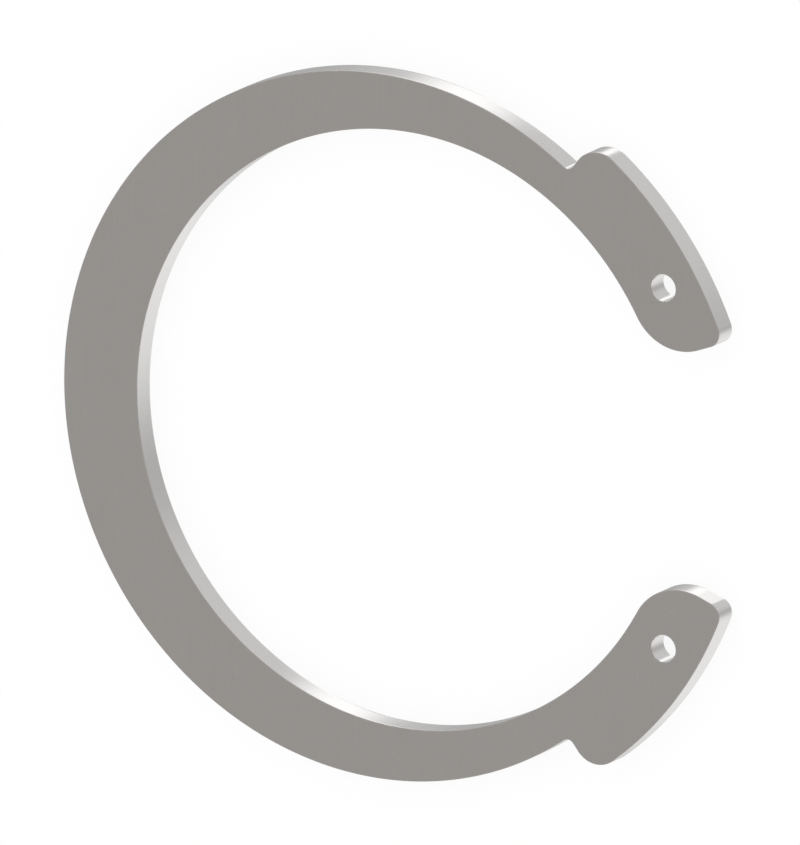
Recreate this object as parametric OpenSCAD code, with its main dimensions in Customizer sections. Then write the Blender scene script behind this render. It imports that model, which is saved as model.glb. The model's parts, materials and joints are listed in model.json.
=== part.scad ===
// Circlip retaining ring, stamped in one piece from spring-steel strip.
// It is open on one side, with a lug and a plier hole at each end of the gap. The ring's width tapers
// from the back to the lugs, so that it bends evenly when pliers close it, and the lugs stand outwards
// to the same circle as the back, where the ring bears in its groove.
// It lies flat on its lower face. The origin is on the axis of the inner circle, at the lower face.
// The gap is towards +X and the lugs are mirror images of each other across the XZ plane.

/* [Ring] */
// Diameter of the inner circle, free
inner_d = 71.1; // [55:0.1:110]
// Thickness of the strip
thickness = 3; // [1:0.1:6]
// Width of the ring at the back, opposite the gap, and height of the lugs
back_width = 9.7; // [8.2:0.1:13]
// Width that the taper would come to at the middle of the gap
front_width = 3.2; // [1.5:0.1:5.5]

/* [Lugs] */
// Angle between the end faces of the two lugs
gap_angle = 41.2; // [24:0.1:60]
// Angle from a lug's end face to the middle of the round on its neck side
lug_span = 31.7; // [24:0.1:42]
// Radius of the round between a lug's end face and the inner circle
inner_corner_r = 6.6; // [1:0.1:8]
// Radius of the round between a lug's end face and its outer arc
outer_corner_r = 1.7; // [0.5:0.1:2.8]
// Radius of the round on a lug's neck side
shoulder_r = 3.3; // [1:0.1:4.2]
// Radius of the fillet where a lug's neck meets the ring
neck_r = 0.9; // [0.3:0.1:1.6]

/* [Plier holes] */
// Diameter of the plier holes
hole_d = 3.3; // [1.5:0.1:5]
// Distance from the inner circle to the middle of a plier hole
hole_inset = 5; // [3.6:0.1:6.4]
// Angle from a lug's end face to the middle of its plier hole
hole_setback = 11.4; // [8:0.1:18]

/* [Hidden] */
$fn = 180;
inner_r = inner_d / 2;
outer_r = inner_r + back_width;
// The ring's outer edge is a circle set back from the axis, which makes the taper
front_r = inner_r + front_width;
taper_r = (outer_r + front_r) / 2;
taper_x = (front_r - outer_r) / 2;
end_angle = gap_angle / 2;
shoulder_angle = end_angle + lug_span;
hole_angle = end_angle + hole_setback;
// Reach of a cut that runs right out of the ring
far = 2 * outer_r;
// A hair added to each round's radius, so that it crosses the edges that it blends into
hair = 0.0005;

function polar(r, angle) = [r * cos(angle), r * sin(angle)];

// The centre of each round at a lug's end: its distance from the axis, and its angle from the end face
inner_corner_dist = inner_r + inner_corner_r;
inner_corner_offset = asin(inner_corner_r / inner_corner_dist);
outer_corner_dist = outer_r - outer_corner_r;
outer_corner_offset = asin(outer_corner_r / outer_corner_dist);

// The neck fillet's centre, in a frame turned to the shoulder: beside the lug, and touching the taper
neck_y = shoulder_r + neck_r;
taper_centre = [taper_x * cos(shoulder_angle), -taper_x * sin(shoulder_angle)];
neck_x = taper_centre.x + sqrt(pow(taper_r + neck_r, 2) - pow(neck_y - taper_centre.y, 2));
neck_to_taper = atan2(taper_centre.y - neck_y, taper_centre.x - neck_x);

module both_sides() {
    children();
    mirror([0, 1]) children();
}

// What lies outside a round between the two directions in which it touches its neighbours.
// It is waste at an outer corner, and fill at an inner one.
module outside_round(centre, r, from, to) {
    half = (to - from) / 2;
    reach = 2 * r;
    translate(centre) difference() {
        polygon([[0, 0], polar(reach, from), polar(reach / cos(half), from + half), polar(reach, to)]);
        circle(r = r + hair);
    }
}

// Outer edge of the ring between the lugs
module taper() {
    translate([taper_x, 0]) circle(r = taper_r);
}

// One lug before its end is cut, drawn with the middle of the round on its neck side on the X axis
module lug_blank() {
    difference() {
        intersection() {
            circle(r = outer_r);
            translate([0, shoulder_r - outer_r]) square(outer_r);
        }
        outside_round([outer_r - shoulder_r, 0], shoulder_r, 0, 90);
    }
    outside_round([neck_x, neck_y], neck_r, neck_to_taper, -90);
}

module inner_corner_waste() {
    rotate(end_angle + inner_corner_offset)
        outside_round([inner_corner_dist, 0], inner_corner_r, -180, -90 - inner_corner_offset);
}

module outer_corner_waste() {
    rotate(end_angle + outer_corner_offset)
        outside_round([outer_corner_dist, 0], outer_corner_r, -90 - outer_corner_offset, 0);
}

module gap_waste() {
    polygon([[0, 0], polar(far, end_angle), polar(far, -end_angle)]);
}

module plier_hole() {
    rotate(hole_angle) translate([inner_r + hole_inset, 0]) circle(d = hole_d);
}

module ring_profile() {
    difference() {
        union() {
            taper();
            both_sides() rotate(shoulder_angle) lug_blank();
        }
        circle(r = inner_r);
        gap_waste();
        both_sides() {
            inner_corner_waste();
            outer_corner_waste();
            plier_hole();
        }
    }
}

module retaining_ring() {
    color([0.58, 0.56, 0.55]) linear_extrude(height = thickness) ring_profile();
}

retaining_ring();
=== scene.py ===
"""Circlip retaining ring in spring steel: the ring's finished shape, its steel, and a plain studio.

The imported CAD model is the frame. The ring made here stands for its solid, with rounded rims.
"""

import json
import math

import bmesh
import bpy
from mathutils import Euler, Matrix, Vector


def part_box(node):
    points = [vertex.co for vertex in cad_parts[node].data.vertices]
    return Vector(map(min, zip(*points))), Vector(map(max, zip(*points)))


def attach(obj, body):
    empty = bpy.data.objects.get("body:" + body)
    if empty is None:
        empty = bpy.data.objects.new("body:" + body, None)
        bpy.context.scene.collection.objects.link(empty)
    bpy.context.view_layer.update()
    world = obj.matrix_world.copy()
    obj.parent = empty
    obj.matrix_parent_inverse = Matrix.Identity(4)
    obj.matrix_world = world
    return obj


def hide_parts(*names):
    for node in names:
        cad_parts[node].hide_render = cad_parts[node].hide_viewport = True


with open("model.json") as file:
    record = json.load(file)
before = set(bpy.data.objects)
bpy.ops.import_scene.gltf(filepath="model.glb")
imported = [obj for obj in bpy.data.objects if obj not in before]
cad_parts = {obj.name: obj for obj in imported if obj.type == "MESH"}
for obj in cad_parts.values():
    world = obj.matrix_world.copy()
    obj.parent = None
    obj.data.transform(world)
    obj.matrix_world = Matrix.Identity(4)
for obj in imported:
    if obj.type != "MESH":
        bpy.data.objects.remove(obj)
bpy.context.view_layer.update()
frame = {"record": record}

bl_info = {
    "name": "Circlip retaining ring",
    "version": (1, 0, 0),
    "blender": (4, 5, 0),
    "location": "View3D > Sidebar > Retaining ring",
    "description": "Models a stamped spring-steel retaining ring and sets up a studio for it",
    "category": "Object",
}

MM = 0.001
# Points closer than this are one point
MERGE = 0.001 * MM
UP = Vector((0, 0, 1))
WHITE = (1, 1, 1, 1)

NODE = "retaining_ring"
NODE_LOW, NODE_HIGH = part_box(NODE)
MOUNTS = {mount["name"]: mount for mount in frame["record"]["mounts"]}
INNER_RADIUS = MOUNTS["inner_edge"]["dims"]["r_mm"] * MM
OUTER_RADIUS = MOUNTS["outer_edge"]["dims"]["r_mm"] * MM
# Mesh attribute that is 1 on the rounded rims and 0 away from them
RIM = "rim_wear"


# Sizes and colours

class RingSizes(bpy.types.PropertyGroup):
    """The ring's measures, as the CAD source has them, and the finish of its edges."""

    inner_radius: bpy.props.FloatProperty(
        name="Inner radius", description="Radius of the inner circle",
        default=INNER_RADIUS, unit="LENGTH", precision=5)
    thickness: bpy.props.FloatProperty(
        name="Thickness", description="Thickness of the strip",
        default=NODE_HIGH.z - NODE_LOW.z, unit="LENGTH", precision=5)
    back_width: bpy.props.FloatProperty(
        name="Back width", description="Width of the ring opposite the gap, and height of the lugs",
        default=OUTER_RADIUS - INNER_RADIUS, unit="LENGTH", precision=5)
    front_width: bpy.props.FloatProperty(
        name="Front width", description="Width that the taper would come to at the middle of the gap",
        default=3.2 * MM, unit="LENGTH", precision=5)
    gap_angle: bpy.props.FloatProperty(
        name="Gap", description="Angle between the end faces of the two lugs",
        default=math.radians(41.2), subtype="ANGLE")
    lug_span: bpy.props.FloatProperty(
        name="Lug span", description="Angle from a lug's end face to the middle of its shoulder round",
        default=math.radians(31.7), subtype="ANGLE")
    inner_corner: bpy.props.FloatProperty(
        name="Inner corner", description="Radius between a lug's end face and the inner circle",
        default=6.6 * MM, unit="LENGTH", precision=5)
    outer_corner: bpy.props.FloatProperty(
        name="Outer corner", description="Radius between a lug's end face and its outer arc",
        default=1.7 * MM, unit="LENGTH", precision=5)
    shoulder: bpy.props.FloatProperty(
        name="Shoulder", description="Radius of the round on a lug's neck side",
        default=3.3 * MM, unit="LENGTH", precision=5)
    neck: bpy.props.FloatProperty(
        name="Neck", description="Radius of the fillet where a lug's neck meets the ring",
        default=0.9 * MM, unit="LENGTH", precision=5)
    rim_round: bpy.props.FloatProperty(
        name="Upper rims", description="Radius of the upper edges, which the punch draws in",
        default=0.06 * MM, unit="LENGTH", precision=5)
    burr_round: bpy.props.FloatProperty(
        name="Lower rims", description="Radius that tumbling leaves on the lower edges, the burr side",
        default=0.04 * MM, unit="LENGTH", precision=5)
    wear_width: bpy.props.FloatProperty(
        name="Wear width", description="How far the brighter wear reaches in from an edge",
        default=0.16 * MM, unit="LENGTH", precision=5)
    arc_error: bpy.props.FloatProperty(
        name="Arc error", description="How far a straight step may stray from the arc that it follows",
        default=0.0015 * MM, unit="LENGTH", precision=6)


class SteelLook(bpy.types.PropertyGroup):
    """Colours and finish of the spring steel."""

    face_colour: bpy.props.FloatVectorProperty(
        name="Faces", description="Colour of the rolled and tempered faces",
        default=(0.3005, 0.2827, 0.2684), subtype="COLOR", min=0, max=1)
    wall_colour: bpy.props.FloatVectorProperty(
        name="Walls", description="Colour of the stamped walls",
        default=(0.4, 0.3944, 0.3872), subtype="COLOR", min=0, max=1)
    wear_colour: bpy.props.FloatVectorProperty(
        name="Worn edges", description="Colour of the steel where tumbling has brightened it",
        default=(0.43, 0.417, 0.4), subtype="COLOR", min=0, max=1)
    face_roughness: bpy.props.FloatProperty(
        name="Face roughness", description="Roughness of the faces", default=0.36, min=0, max=1)
    wall_roughness: bpy.props.FloatProperty(
        name="Wall roughness", description="Roughness of the walls", default=0.22, min=0, max=1)
    grain_size: bpy.props.FloatProperty(
        name="Grain size", description="Size of the tumbled grain",
        default=0.1 * MM, unit="LENGTH", precision=5)
    rolling_width: bpy.props.FloatProperty(
        name="Rolling lines", description="Width of the strip's rolling lines on the faces",
        default=0.09 * MM, unit="LENGTH", precision=5)
    streak_width: bpy.props.FloatProperty(
        name="Wall streaks", description="Width of the upright streaks that the punch leaves",
        default=0.08 * MM, unit="LENGTH", precision=5)
    cloud_size: bpy.props.FloatProperty(
        name="Cloud size", description="Size of the faint cloudy unevenness all over the steel",
        default=6 * MM, unit="LENGTH", precision=5)
    wear: bpy.props.FloatProperty(
        name="Wear", description="How far tumbling has brightened the edges", default=0.18,
        min=0, max=1)
    grain_depth: bpy.props.FloatProperty(
        name="Grain depth", description="Depth of the tumbled grain",
        default=0.0016 * MM, unit="LENGTH", precision=5)


class StudioLook(bpy.types.PropertyGroup):
    """Floor, light and camera of the studio."""

    floor_side: bpy.props.FloatProperty(
        name="Floor side", description="Side of the square floor", default=2.4, unit="LENGTH")
    floor_colour: bpy.props.FloatVectorProperty(
        name="Floor", description="Colour of the floor", default=(0.98, 0.98, 0.98),
        subtype="COLOR", min=0, max=1)
    floor_shine: bpy.props.FloatProperty(
        name="Floor whiteness", description="Share of plain white in what the camera sees of the floor",
        default=0.9, min=0, max=1)
    dome_level: bpy.props.FloatProperty(
        name="Dome level", description="Brightness of the studio overhead, 1 is white", default=1.0, min=0)
    surround_level: bpy.props.FloatProperty(
        name="Surround level", description="Brightness of the studio low down, between the panels",
        default=1.0, min=0)
    key_strength: bpy.props.FloatProperty(
        name="Key strength", description="Strength of the soft key lamp", default=0.15, min=0)
    key_softness: bpy.props.FloatProperty(
        name="Key softness", description="Angle that the key lamp fills",
        default=math.radians(90), subtype="ANGLE")
    key_lean: bpy.props.FloatProperty(
        name="Key lean", description="Turn of the key lamp about the X axis from straight above",
        default=math.radians(-42), subtype="ANGLE")
    key_turn: bpy.props.FloatProperty(
        name="Key turn", description="Turn of the key lamp about the Y axis from straight above",
        default=math.radians(-20), subtype="ANGLE")
    view_lean: bpy.props.FloatProperty(
        name="Lean", description="Turn of the camera about its own X axis from straight above",
        default=math.radians(-15), subtype="ANGLE")
    view_turn: bpy.props.FloatProperty(
        name="Turn", description="Turn of the camera about the Y axis from straight above",
        default=math.radians(30), subtype="ANGLE")
    view_width: bpy.props.FloatProperty(
        name="View", description="Longer side of what the camera takes in",
        default=97.281 * MM, unit="LENGTH", precision=5)
    view_shift: bpy.props.FloatVectorProperty(
        name="View middle", description="Middle of the picture, measured from the ring's axis",
        size=2, default=(-0.5067 * MM, 0.8448 * MM), unit="LENGTH", precision=5)
    view_distance: bpy.props.FloatProperty(
        name="Distance", description="Distance from the camera to the middle of its view",
        default=0.5, unit="LENGTH")


# Shader maths

class Wire:
    """A socket of a shader tree. Sums of wires and numbers add Math nodes to the tree."""

    def __init__(self, tree, socket=None):
        self.tree = tree
        self.socket = socket

    def node(self, kind, settings=None, values=None, out=0):
        """Adds a node: its settings first, then its sockets' values or links. Gives one output."""
        made = self.tree.nodes.new(kind)
        for name, value in (settings or {}).items():
            setattr(made, name, value)
        for name, value in (values or {}).items():
            if isinstance(value, Wire):
                self.tree.links.new(value.socket, made.inputs[name])
            else:
                made.inputs[name].default_value = value
        return Wire(self.tree, made.outputs[out] if made.outputs else None)

    def math(self, operation, *values):
        """Adds a Math node on wires and numbers."""
        return self.node("ShaderNodeMath", {"operation": operation}, dict(enumerate(values)))

    def __add__(self, other):
        return self.math("ADD", self, other)

    def __sub__(self, other):
        return self.math("SUBTRACT", self, other)

    def __rsub__(self, other):
        return self.math("SUBTRACT", other, self)

    def __mul__(self, other):
        return self.math("MULTIPLY", self, other)

    __radd__ = __add__
    __rmul__ = __mul__

    def rise(self, start, end):
        """0 where the wire is at start, 1 at end, and smooth between them."""
        return self.node("ShaderNodeMapRange", {"interpolation_type": "SMOOTHSTEP"},
                         {"Value": self, "From Min": start, "From Max": end})

    def blend(self, a, b):
        """Value a where the wire is 0 and b where it is 1."""
        return a * (1 - self) + b * self

    def mix(self, a, b):
        """Colour a where the wire is 0 and b where it is 1."""
        return self.node("ShaderNodeMix", {"data_type": "RGBA"}, {0: self, 6: a, 7: b}, out=2)

    def noise(self, size, stretch=(1, 1, 1), detail=2.0, roughness=0.5):
        """Noise on these coordinates, with its spots about size across before they are stretched."""
        place = self.node("ShaderNodeMapping", {},
                          {"Vector": self, "Scale": [1 / (size * s) for s in stretch]})
        return self.node("ShaderNodeTexNoise", {},
                         {"Vector": place, "Scale": 1.0, "Detail": detail, "Roughness": roughness})


def new_material(name):
    """A material with only its output node, and a wire on its tree."""
    material = bpy.data.materials.new(name)
    material.use_nodes = True
    material.node_tree.nodes.clear()
    return material, Wire(material.node_tree)


def solid(colour):
    """The colour with full alpha, as a colour socket takes it."""
    return (*colour, 1.0)


# The steel

# How far lines and streaks are drawn out along each axis, for one across
ROLLING_STRETCH = (1, 90, 90)
STREAK_STRETCH = (1, 1, 50)
HAIRLINE_STRETCH = (1, 70, 70)
# The width of each set of hairlines, and its turn in the plane of the faces
HAIRLINES = ((0.11 * MM, 0.6), (0.13 * MM, -0.9))
# Hairlines come in patches this many times as wide as a line
HAIRLINE_PATCH = 30
# Noise levels at which a hairline, a patch of hairlines and a worn spot start, and are full
HAIRLINE_LEVELS = (0.66, 0.74)
PATCH_LEVELS = (0.5, 0.62)
WORN_LEVELS = (0.4, 0.6)
WORN_SPOT = 0.7 * MM
# How much smoother a worn rim is
WORN_POLISH = 0.04
# Shares of the thickness at which the torn band of a wall starts and is full, and how far it wanders
TORN_LEVELS = (0.42, 0.3)
TORN_WANDER = 0.5 * MM

# How strongly each pattern shows in the tone, the roughness and the relief of the faces and walls
FACE_TONE = {"clouds": 0.07, "grain": 0.26, "rolling": 0.12, "hairlines": 0.06}
FACE_ROUGHNESS = {"clouds": 0.12, "grain": 0.16, "rolling": 0.08, "hairlines": -0.05}
FACE_RELIEF = {"grain": 1.0, "rolling": 0.6, "hairlines": -0.5}
WALL_TONE = {"clouds": 0.04, "streaks": 0.05}
WALL_ROUGHNESS = {"clouds": 0.05, "streaks": 0.04, "torn": 0.01}
WALL_RELIEF = {"streaks": 0.12, "torn streaks": 0.1}


def layered(patterns, strengths):
    """The sum of the named patterns, each at its strength."""
    return sum(patterns[name] * strength for name, strength in strengths.items())


def hairlines(place, width, turn):
    """Sparse fine scratches, turned in the plane of the faces."""
    turned = place.node("ShaderNodeVectorRotate", {"rotation_type": "Z_AXIS"},
                        {"Vector": place, "Angle": turn})
    lines = turned.noise(width, stretch=HAIRLINE_STRETCH, detail=1.0)
    patches = turned.noise(HAIRLINE_PATCH * width, detail=2.0)
    return lines.rise(*HAIRLINE_LEVELS) * patches.rise(*PATCH_LEVELS)


def spring_steel(look, sizes):
    """Tempered spring steel: satin rolled faces, smoother stamped walls and brightened edges."""
    material, tree = new_material("spring_steel")
    place = tree.node("ShaderNodeTexCoord", out="Object")
    rim = tree.node("ShaderNodeAttribute", {"attribute_name": RIM}, out="Fac")
    height = tree.node("ShaderNodeSeparateXYZ", {}, {"Vector": place}, out="Z")

    # The walls' finish runs right down to the lower rims, and stops half way up the upper ones
    wall = height.rise(0, sizes.burr_round / 2) * (sizes.thickness - height).rise(
        sizes.rim_round / 2, sizes.rim_round)

    # Noise less 0.5 is centred on 0, so that it leaves the mean tone as it is
    clouds = place.noise(look.cloud_size, detail=3.0) - 0.5
    streaks = place.noise(look.streak_width, stretch=STREAK_STRETCH, detail=3.0, roughness=0.6) - 0.5
    torn_from, torn_full = (share * sizes.thickness for share in TORN_LEVELS)
    torn = wall * (height + clouds * TORN_WANDER).rise(torn_from, torn_full)
    patterns = {
        "clouds": clouds,
        "grain": place.noise(look.grain_size, detail=3.0, roughness=0.65) - 0.5,
        "rolling": place.noise(look.rolling_width, stretch=ROLLING_STRETCH, detail=3.0,
                               roughness=0.6) - 0.5,
        "hairlines": sum(hairlines(place, width, turn) for width, turn in HAIRLINES),
        "streaks": streaks,
        "torn": torn,
        "torn streaks": streaks * torn,
    }
    worn = rim * place.noise(WORN_SPOT, detail=4.0).rise(*WORN_LEVELS)

    # Faces: satin, with the strip's rolling lines under a fine tumbled grain and a few hairlines.
    # Walls: sheared smooth by the punch, with fine upright streaks, and torn a little lower down
    tone = 1 + wall.blend(layered(patterns, FACE_TONE), layered(patterns, WALL_TONE))
    rough = wall.blend(look.face_roughness + layered(patterns, FACE_ROUGHNESS),
                       look.wall_roughness + layered(patterns, WALL_ROUGHNESS)) - worn * WORN_POLISH
    relief = wall.blend(layered(patterns, FACE_RELIEF), layered(patterns, WALL_RELIEF))

    colour = wall.mix(solid(look.face_colour), solid(look.wall_colour))
    colour = (worn * look.wear).mix(colour, solid(look.wear_colour))
    shade = tree.node("ShaderNodeCombineXYZ", {}, {"X": tone, "Y": tone, "Z": tone})
    colour = tree.node("ShaderNodeVectorMath", {"operation": "MULTIPLY"}, {0: colour, 1: shade})
    normal = tree.node("ShaderNodeBump", {},
                       {"Height": relief, "Distance": look.grain_depth, "Strength": 1.0})
    steel = tree.node("ShaderNodeBsdfPrincipled", {}, {
        "Base Color": colour, "Roughness": rough, "Metallic": 1.0, "Normal": normal})
    tree.node("ShaderNodeOutputMaterial", {}, {"Surface": steel})
    return material


def seen_plainly(tree):
    """1 for what the camera sees by itself or through glass, and 0 for all other light."""
    camera = tree.node("ShaderNodeLightPath", out="Is Camera Ray")
    return camera + tree.node("ShaderNodeLightPath", out="Is Transmission Ray")


def floor_white(look):
    """A pale floor that the camera sees as nearly plain white, with a faint shadow left on it."""
    material, tree = new_material("floor_white")
    lit = tree.node("ShaderNodeBsdfDiffuse", {}, {"Color": solid(look.floor_colour)})
    white = tree.node("ShaderNodeEmission", {}, {"Strength": 1.0})
    mixed = tree.node("ShaderNodeMixShader", {},
                      {0: seen_plainly(tree) * look.floor_shine, 1: lit, 2: white})
    tree.node("ShaderNodeOutputMaterial", {}, {"Surface": mixed})
    return material


# The ring's shape

# Steps in a rim's round
RIM_STEPS = 3
# A face is flat where its normal's upright part is over FLAT, and part of a rim where it lies between
# the values of SLOPED
FLAT = 0.9999
SLOPED = (0.02, 0.98)
# How much a face's area counts when the normals are evened out
NORMAL_WEIGHT = 90


def polar(radius, angle):
    """The point at a radius and an angle from the ring's axis."""
    return Vector((radius * math.cos(angle), radius * math.sin(angle), 0))


def arc_steps(radius, turn, error):
    """How many straight steps an arc needs, so that none of them strays from it by more than error."""
    return math.ceil(abs(turn) / (2 * math.acos(1 - error / radius)))


class Pen:
    """Draws an outline as a chain of edges: arcs and lines that follow each other."""

    def __init__(self, bm, vert, error):
        self.bm = bm
        self.tip = vert
        self.error = error
        self.edges = []

    def arc(self, centre, turn, steps=None):
        """Goes round a centre by an angle, in as many steps as the arc needs unless they are given."""
        known = set(self.bm.edges)
        steps = steps or arc_steps((self.tip.co - centre).length, turn, self.error)
        made = bmesh.ops.spin(self.bm, geom=[self.tip], cent=centre, axis=UP, angle=turn,
                              steps=steps, use_duplicate=False)
        self.tip = next(item for item in made["geom_last"] if isinstance(item, bmesh.types.BMVert))
        self.edges += [edge for edge in self.bm.edges if edge not in known]

    def line(self, move):
        """Goes straight on by a move."""
        made = bmesh.ops.extrude_vert_indiv(self.bm, verts=[self.tip])
        self.tip = made["verts"][0]
        bmesh.ops.translate(self.bm, vec=move, verts=[self.tip])
        self.edges += made["edges"]


def circle(bm, centre, radius, steps):
    """Adds a circle and gives its edges."""
    known = set(bm.edges)
    bmesh.ops.create_circle(bm, radius=radius, segments=steps, matrix=Matrix.Translation(centre))
    return [edge for edge in bm.edges if edge not in known]


def ring_half(bm, s):
    """The flat half of the ring on the +Y side, from the lug's end face to the middle of the back."""
    outer_radius = s.inner_radius + s.back_width
    front_radius = s.inner_radius + s.front_width
    taper_radius = (outer_radius + front_radius) / 2
    taper_centre = Vector(((front_radius - outer_radius) / 2, 0, 0))
    end = s.gap_angle / 2
    middle = end + s.lug_span

    inner_far = s.inner_radius + s.inner_corner
    inner_turn = math.asin(s.inner_corner / inner_far)
    inner_centre = polar(inner_far, end + inner_turn)
    outer_far = outer_radius - s.outer_corner
    outer_turn = math.asin(s.outer_corner / outer_far)
    outer_centre = polar(outer_far, end + outer_turn)
    shoulder_centre = polar(outer_radius - s.shoulder, middle)

    # The neck fillet lies beside the lug and touches the taper circle from outside
    along, across = polar(1, middle), polar(1, middle + math.pi / 2)
    neck_across = s.shoulder + s.neck
    neck_along = taper_centre.dot(along) + math.sqrt(
        (taper_radius + s.neck) ** 2 - (neck_across - taper_centre.dot(across)) ** 2)
    neck_centre = along * neck_along + across * neck_across
    to_taper = taper_centre - neck_centre
    neck_turn = math.atan2(to_taper.y, to_taper.x) % math.tau - (middle + 1.5 * math.pi)

    # Round the lug from the inner circle: end face, outer arc, shoulder and neck
    start = bm.verts.new(polar(s.inner_radius, end + inner_turn))
    lug = Pen(bm, start, s.arc_error)
    end_length = math.sqrt(outer_far ** 2 - s.outer_corner ** 2) - math.sqrt(
        inner_far ** 2 - s.inner_corner ** 2)
    lug.arc(inner_centre, math.pi / 2 - inner_turn)
    lug.line(polar(end_length, end))
    lug.arc(outer_centre, math.pi / 2 + outer_turn)
    lug.arc(Vector(), s.lug_span - outer_turn)
    lug.arc(shoulder_centre, math.pi / 2)
    lug.line(along * (neck_along - shoulder_centre.dot(along)))
    lug.arc(neck_centre, neck_turn)

    # The inner circle under the lug, then the body, whose two edges have the same number of points
    cut = math.atan2(lug.tip.co.y, lug.tip.co.x)
    inner = Pen(bm, start, s.arc_error)
    inner.arc(Vector(), cut - end - inner_turn)
    across_neck = bm.edges.new((inner.tip, lug.tip))
    body_in, body_out = Pen(bm, inner.tip, s.arc_error), Pen(bm, lug.tip, s.arc_error)
    from_taper = lug.tip.co - taper_centre
    taper_turn = math.pi - math.atan2(from_taper.y, from_taper.x)
    count = arc_steps(taper_radius, taper_turn, s.arc_error)
    body_in.arc(Vector(), math.pi - cut, count)
    body_out.arc(taper_centre, taper_turn, count)
    bmesh.ops.bridge_loops(bm, edges=body_in.edges + body_out.edges)

    # The plier hole with a collar of faces round it, and the lug's face up to the collar
    hole = MOUNTS["plier_hole_left"]
    hole_radius = hole["dims"]["r_mm"] * MM
    collar_radius = hole_radius + s.rim_round + 2 * s.wear_width
    hole_centre = Vector((hole["pos_m"][0], hole["pos_m"][1], 0))
    steps = arc_steps(hole_radius, math.tau, s.arc_error)
    hole_edges = circle(bm, hole_centre, hole_radius, steps)
    collar_edges = circle(bm, hole_centre, collar_radius, steps)
    bmesh.ops.bridge_loops(bm, edges=hole_edges + collar_edges)
    bmesh.ops.triangle_fill(bm, use_beauty=True, use_dissolve=False, normal=UP,
                            edges=lug.edges + inner.edges + [across_neck] + collar_edges)


def flat_faces(bm):
    """The mesh's faces that lie flat, on the ring's upper and lower side."""
    return [face for face in bm.faces if abs(face.normal.z) > FLAT]


def sort_faces(bm):
    """Sorts the faces by their corners, because a bevel's faces come in another order every run."""
    bm.verts.index_update()
    corners = {face: sorted(vert.index for vert in face.verts) for face in bm.faces}
    rank = {face: place for place, face in enumerate(sorted(bm.faces, key=corners.get))}
    bm.faces.sort(key=rank.get)


def ring_mesh(s):
    """The whole ring: its flat shape made 3-D, with rounded rims and a mask of where they wear."""
    bm = bmesh.new()
    ring_half(bm, s)
    bmesh.ops.mirror(bm, geom=bm.verts[:] + bm.edges[:] + bm.faces[:], matrix=Matrix(),
                     merge_dist=MERGE, axis="Y")
    bmesh.ops.remove_doubles(bm, verts=bm.verts[:], dist=MERGE)

    # The upper side is a copy of the flat shape, and the walls join each of its loops to its copy
    made = bmesh.ops.duplicate(bm, geom=bm.verts[:] + bm.edges[:] + bm.faces[:])
    raised = [item for item in made["geom"] if isinstance(item, bmesh.types.BMVert)]
    bmesh.ops.translate(bm, vec=UP * s.thickness, verts=raised)
    bmesh.ops.bridge_loops(bm, edges=[edge for edge in bm.edges if edge.is_boundary], use_pairs=True)
    bmesh.ops.recalc_face_normals(bm, faces=bm.faces[:])

    # A border of square faces along every rim, which the round is then cut from
    border = s.rim_round + s.wear_width
    bmesh.ops.inset_region(bm, faces=flat_faces(bm), thickness=border,
                           use_boundary=True, use_even_offset=True)
    for level in (border, s.thickness - border):
        bmesh.ops.bisect_plane(bm, geom=bm.verts[:] + bm.edges[:] + bm.faces[:],
                               dist=MERGE, plane_co=UP * level, plane_no=UP)
    flat = set(flat_faces(bm))
    rims = [edge for edge in bm.edges if sum(face in flat for face in edge.link_faces) == 1]
    upper = [edge for edge in rims if edge.verts[0].co.z > s.thickness / 2]
    lower = [edge for edge in rims if edge.verts[0].co.z < s.thickness / 2]
    for edges, radius in ((upper, s.rim_round), (lower, s.burr_round)):
        bmesh.ops.bevel(bm, geom=edges, offset=radius, offset_type="OFFSET", segments=RIM_STEPS,
                        profile=0.5, affect="EDGES", material=-1)
    sort_faces(bm)
    bm.normal_update()
    wear = bm.verts.layers.float.new(RIM)
    for face in bm.faces:
        face.smooth = True
        if SLOPED[0] < abs(face.normal.z) < SLOPED[1]:
            for vert in face.verts:
                vert[wear] = 1.0
    return bm


class RING_OT_steel_ring(bpy.types.Operator):
    """Model the spring-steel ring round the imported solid, and give it its steel"""

    bl_idname = "ring.steel_ring"
    bl_label = "Retaining ring"

    def execute(self, context):
        sizes, look = context.scene.ring_sizes, context.scene.ring_steel
        bm = ring_mesh(sizes)
        if any(not edge.is_manifold for edge in bm.edges):
            raise RuntimeError("the ring's mesh isn't closed")
        mesh = bpy.data.meshes.new("stamped_ring")
        bm.to_mesh(mesh)
        bm.free()
        ring = bpy.data.objects.new("stamped_ring", mesh)
        context.scene.collection.objects.link(ring)
        mesh.materials.append(spring_steel(look, sizes))
        normals = ring.modifiers.new("Even normals", "WEIGHTED_NORMAL")
        normals.mode = "FACE_AREA"
        normals.weight = NORMAL_WEIGHT
        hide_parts(NODE)
        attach(ring, "root")
        return {"FINISHED"}


# The studio

# Soft panels that stand low round the ring: the direction that each one stands in, the half
# angles where it ends and where it is full, in degrees, and what it adds to the surround, or takes away
PANELS = {
    "long panel": (-68.5, 67, 3, 0.685),
    "strip": (120.9, 22, 4, 1.43),
    "side panel": (61.5, 54, 2, 0.33),
    "dark flag": (189, 31.5, 4, -0.26),
    "wide flag": (216, 95, 29, -0.14),
}
# How high a direction points where the panels start to give way to the dome, and where the dome is full
DOME_RISE = (-0.1, 0.6)
# Nearest and farthest that the camera sees
CLIP_START = 10 * MM
CLIP_END = 10


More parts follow.
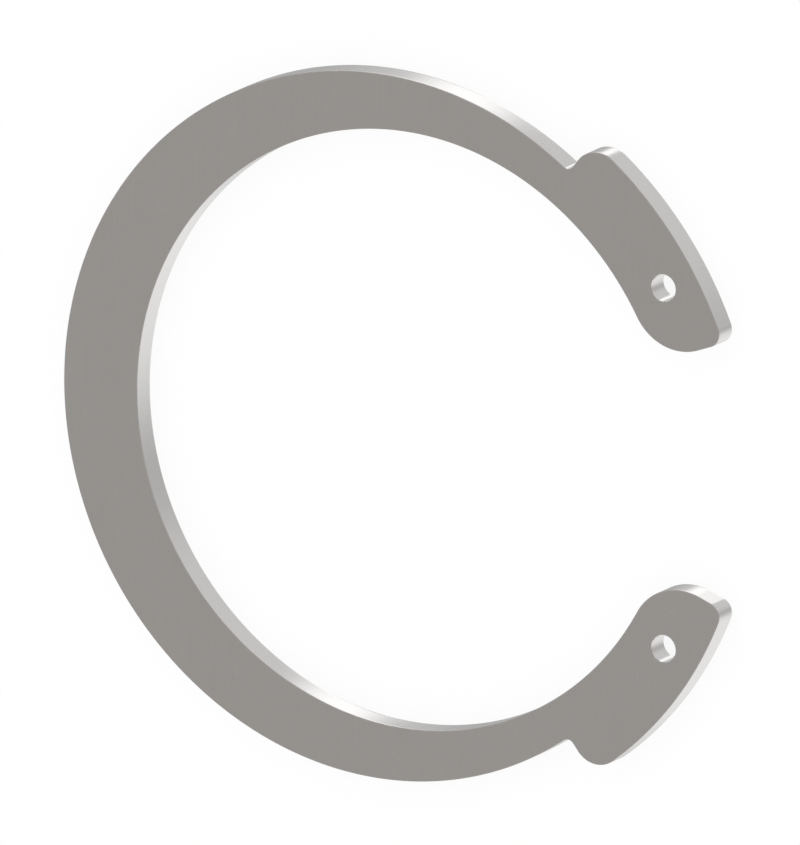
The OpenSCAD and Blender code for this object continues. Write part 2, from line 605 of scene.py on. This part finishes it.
def studio_world(look):
    """White for the camera and through glass. All else sees as white a studio, with soft panels in it."""
    world = bpy.data.worlds.new("studio")
    world.use_nodes = True
    world.node_tree.nodes.clear()
    tree = Wire(world.node_tree)
    place = tree.node("ShaderNodeTexCoord", out="Generated")
    flat = tree.node("ShaderNodeVectorMath", {"operation": "MULTIPLY"}, {0: place, 1: (1, 1, 0)})
    flat = tree.node("ShaderNodeVectorMath", {"operation": "NORMALIZE"}, {0: flat})
    low = look.surround_level
    for azimuth, ends, full, level in PANELS.values():
        towards = polar(1, math.radians(azimuth))
        cosine = tree.node("ShaderNodeVectorMath", {"operation": "DOT_PRODUCT"},
                           {0: flat, 1: towards}, out="Value")
        low = low + cosine.rise(math.cos(math.radians(ends)), math.cos(math.radians(full))) * level
    up = tree.node("ShaderNodeSeparateXYZ", {}, {"Vector": place}, out="Z").rise(*DOME_RISE)
    level = up.blend(low, look.dome_level)
    studio = tree.node("ShaderNodeBackground", {}, {"Color": WHITE, "Strength": level})
    white = tree.node("ShaderNodeBackground", {}, {"Color": WHITE, "Strength": 1.0})
    mixed = tree.node("ShaderNodeMixShader", {}, {0: seen_plainly(tree), 1: studio, 2: white})
    tree.node("ShaderNodeOutputWorld", {}, {"Surface": mixed})
    return world


class RING_OT_studio(bpy.types.Operator):
    """Lay the pale floor, light the studio and set the camera at the photograph's angle"""

    bl_idname = "ring.studio"
    bl_label = "Studio"

    def execute(self, context):
        scene, look, sizes = context.scene, context.scene.ring_studio, context.scene.ring_sizes
        scene.view_settings.view_transform = "Standard"
        scene.world = studio_world(look)

        bm = bmesh.new()
        bmesh.ops.create_grid(bm, x_segments=1, y_segments=1, size=look.floor_side / 2)
        mesh = bpy.data.meshes.new("floor")
        bm.to_mesh(mesh)
        bm.free()
        mesh.materials.append(floor_white(look))
        floor = bpy.data.objects.new("floor", mesh)
        # The ring's walls mirror the low panels, which the floor would hide
        floor.visible_glossy = False
        scene.collection.objects.link(floor)

        lamp = bpy.data.lights.new("key", "SUN")
        lamp.energy = look.key_strength
        lamp.angle = look.key_softness
        key = bpy.data.objects.new("key", lamp)
        key.rotation_euler = Euler((look.key_lean, look.key_turn, 0))
        scene.collection.objects.link(key)

        camera = bpy.data.cameras.new("camera")
        camera.type = "ORTHO"
        camera.ortho_scale = look.view_width
        camera.clip_start = CLIP_START
        camera.clip_end = CLIP_END
        eye = bpy.data.objects.new("camera", camera)
        turn = Euler((look.view_lean, look.view_turn, 0)).to_matrix()
        aim = UP * sizes.thickness + turn @ Vector((*look.view_shift, 0))
        eye.rotation_euler = turn.to_euler()
        eye.location = aim + turn @ UP * look.view_distance
        scene.collection.objects.link(eye)
        scene.camera = eye
        return {"FINISHED"}


class RING_PT_panel(bpy.types.Panel):
    """Lists the ring's operators and settings"""

    bl_label = "Retaining ring"
    bl_idname = "RING_PT_panel"
    bl_space_type = "VIEW_3D"
    bl_region_type = "UI"
    bl_category = "Retaining ring"

    def draw(self, context):
        scene, layout = context.scene, self.layout
        for group, operator in ((scene.ring_sizes, RING_OT_steel_ring.bl_idname),
                                (scene.ring_steel, None),
                                (scene.ring_studio, RING_OT_studio.bl_idname)):
            box = layout.box()
            for name in group.__annotations__:
                box.prop(group, name)
            if operator:
                box.operator(operator)


CLASSES = (RingSizes, SteelLook, StudioLook, RING_OT_steel_ring, RING_OT_studio, RING_PT_panel)


def register():
    for cls in CLASSES:
        bpy.utils.register_class(cls)
    bpy.types.Scene.ring_sizes = bpy.props.PointerProperty(type=RingSizes)
    bpy.types.Scene.ring_steel = bpy.props.PointerProperty(type=SteelLook)
    bpy.types.Scene.ring_studio = bpy.props.PointerProperty(type=StudioLook)


def unregister():
    del bpy.types.Scene.ring_studio
    del bpy.types.Scene.ring_steel
    del bpy.types.Scene.ring_sizes
    for cls in reversed(CLASSES):
        bpy.utils.unregister_class(cls)


def main():
    register()
    bpy.ops.ring.steel_ring()
    bpy.ops.ring.studio()


if __name__ == "__main__":
    main()
